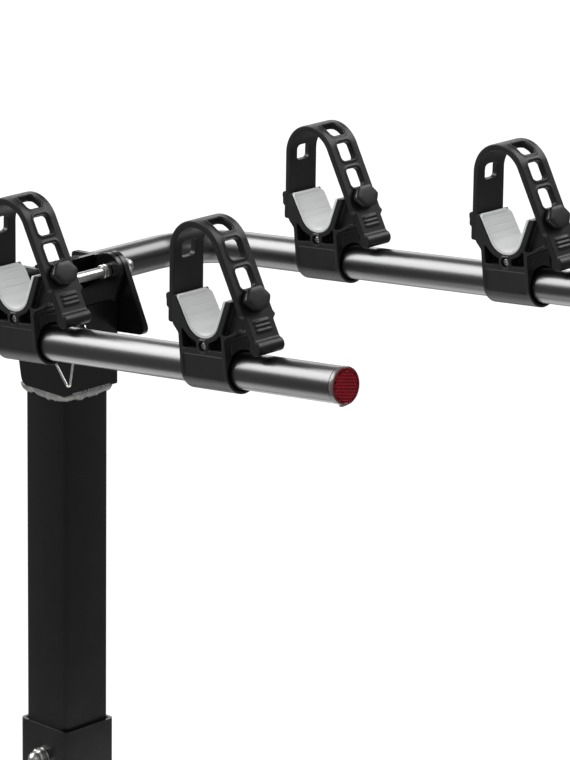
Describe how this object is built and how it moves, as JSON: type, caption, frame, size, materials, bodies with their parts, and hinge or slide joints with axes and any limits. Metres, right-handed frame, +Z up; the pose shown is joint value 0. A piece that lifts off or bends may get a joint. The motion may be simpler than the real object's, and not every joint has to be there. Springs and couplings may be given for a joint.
{
  "type": "hitch mounted bike rack",
  "caption": "Hitch mounted bike rack: square shank, tilting mast and a folding U-shaped pair of tube arms with padded strap cradles.",
  "frame": {"origin": "on the hitch shank's flat underside, below the hitch bolt", "axes": "+X away from the vehicle along the shank, +Y across the rack, +Z up the mast"},
  "size_m": [0.7048, 0.3368, 0.8114],
  "materials": {
    "black_powder_coat": "satin black powder coat",
    "bright_zinc": "bright zinc plate",
    "weld_metal": "bare grey weld",
    "black_plastic": "textured matt black",
    "black_rubber": "matt black",
    "grey_pad": "soft light grey",
    "red_reflector": "clear red prismatic"
  },
  "bodies": {
    "base": {"hitch_shank": "black_powder_coat", "shank_end_cap": "black_rubber", "cheek_near": "black_powder_coat", "cheek_far": "black_powder_coat", "tilt_bolt": "bright_zinc", "tilt_nut": "bright_zinc"},
    "mast": {"base_sleeve": "black_powder_coat", "mast_tube": "black_powder_coat", "head_bracket": "black_powder_coat", "mast_weld": "weld_metal", "sleeve_bolt_upper": "bright_zinc", "sleeve_bolt_lower": "bright_zinc", "sleeve_nut_upper": "bright_zinc", "sleeve_nut_lower": "bright_zinc"},
    "hitch_bolt": {"hitch_bolt": "bright_zinc", "hitch_washer": "bright_zinc"},
    "tilt_plunger": {"tilt_plunger": "bright_zinc"},
    "lock_pin": {"lock_pin": "bright_zinc"},
    "pull_ring": {"pull_ring": "bright_zinc"},
    "strap_near_inner": {"strap_tail_near_inner": "black_rubber"},
    "strap_near_outer": {"strap_tail_near_outer": "black_rubber"},
    "strap_far_inner": {"strap_tail_far_inner": "black_rubber"},
    "strap_far_outer": {"strap_tail_far_outer": "black_rubber"},
    "arms": {"arm_tube": "black_powder_coat", "arm_bracket": "black_powder_coat", "arm_cap_near": "black_plastic", "arm_cap_far": "black_plastic", "fold_bolt": "bright_zinc", "fold_washer_near": "bright_zinc", "fold_washer_far": "bright_zinc", "fold_nut_near": "bright_zinc", "fold_nut_far": "bright_zinc", "fold_collar": "bright_zinc", "reflector_near": "red_reflector", "reflector_far": "red_reflector", "cradle_near_inner": "black_plastic", "pad_near_inner": "grey_pad", "strap_knob_near_inner": "black_plastic", "cradle_screw_near_inner": "bright_zinc", "strap_loop_near_inner": "black_rubber", "cradle_near_outer": "black_plastic", "pad_near_outer": "grey_pad", "strap_knob_near_outer": "black_plastic", "cradle_screw_near_outer": "bright_zinc", "strap_loop_near_outer": "black_rubber", "cradle_far_inner": "black_plastic", "pad_far_inner": "grey_pad", "strap_knob_far_inner": "black_plastic", "cradle_screw_far_inner": "bright_zinc", "strap_loop_far_inner": "black_rubber", "cradle_far_outer": "black_plastic", "pad_far_outer": "grey_pad", "strap_knob_far_outer": "black_plastic", "cradle_screw_far_outer": "bright_zinc", "strap_loop_far_outer": "black_rubber"}
  },
  "joints": [
    {"name": "mast_tilt", "type": "hinge", "parent": "base", "child": "mast", "pos_m": [0.206, 0, 0.03], "axis": [0, 1, 0], "range_deg": [0, 60]},
    {"name": "tilt_plunger_pull", "type": "slide", "parent": "base", "child": "tilt_plunger", "axis": [0, -1, 0], "range_m": [0, 0.08]},
    {"name": "hitch_bolt_draw", "type": "slide", "parent": "base", "child": "hitch_bolt", "axis": [0, -1, 0], "range_m": [0, 0.09]},
    {"name": "arm_fold", "type": "hinge", "parent": "mast", "child": "arms", "pos_m": [0.226, 0, 0.6831], "axis": [0, 1, 0], "range_deg": [0, 96]},
    {"name": "lock_pin_pull", "type": "slide", "parent": "arms", "child": "lock_pin", "axis": [0, -1, 0], "range_m": [0, 0.13]},
    {"name": "pull_ring_swing", "type": "hinge", "parent": "lock_pin", "child": "pull_ring", "pos_m": [0.243, -0.039, 0.6498], "axis": [1, 0, 0], "range_deg": [-90, 5]},
    {"name": "strap_open_near_inner", "type": "hinge", "parent": "arms", "child": "strap_near_inner", "pos_m": [0.34251, -0.1524, 0.77806], "axis": [0, -1, 0], "range_deg": [0, 150]},
    {"name": "strap_open_near_outer", "type": "hinge", "parent": "arms", "child": "strap_near_outer", "pos_m": [0.52938, -0.1524, 0.79869], "axis": [0, -1, 0], "range_deg": [0, 150]},
    {"name": "strap_open_far_inner", "type": "hinge", "parent": "arms", "child": "strap_far_inner", "pos_m": [0.34251, 0.1524, 0.77806], "axis": [0, -1, 0], "range_deg": [0, 150]},
    {"name": "strap_open_far_outer", "type": "hinge", "parent": "arms", "child": "strap_far_outer", "pos_m": [0.52938, 0.1524, 0.79869], "axis": [0, -1, 0], "range_deg": [0, 150]}
  ],
  "couplings": [
    {"joint": "tilt_plunger_pull", "follows": "mast_tilt", "m_per_rad": 0.06923},
    {"joint": "lock_pin_pull", "follows": "arm_fold", "m_per_rad": 0.07162}
  ]
}
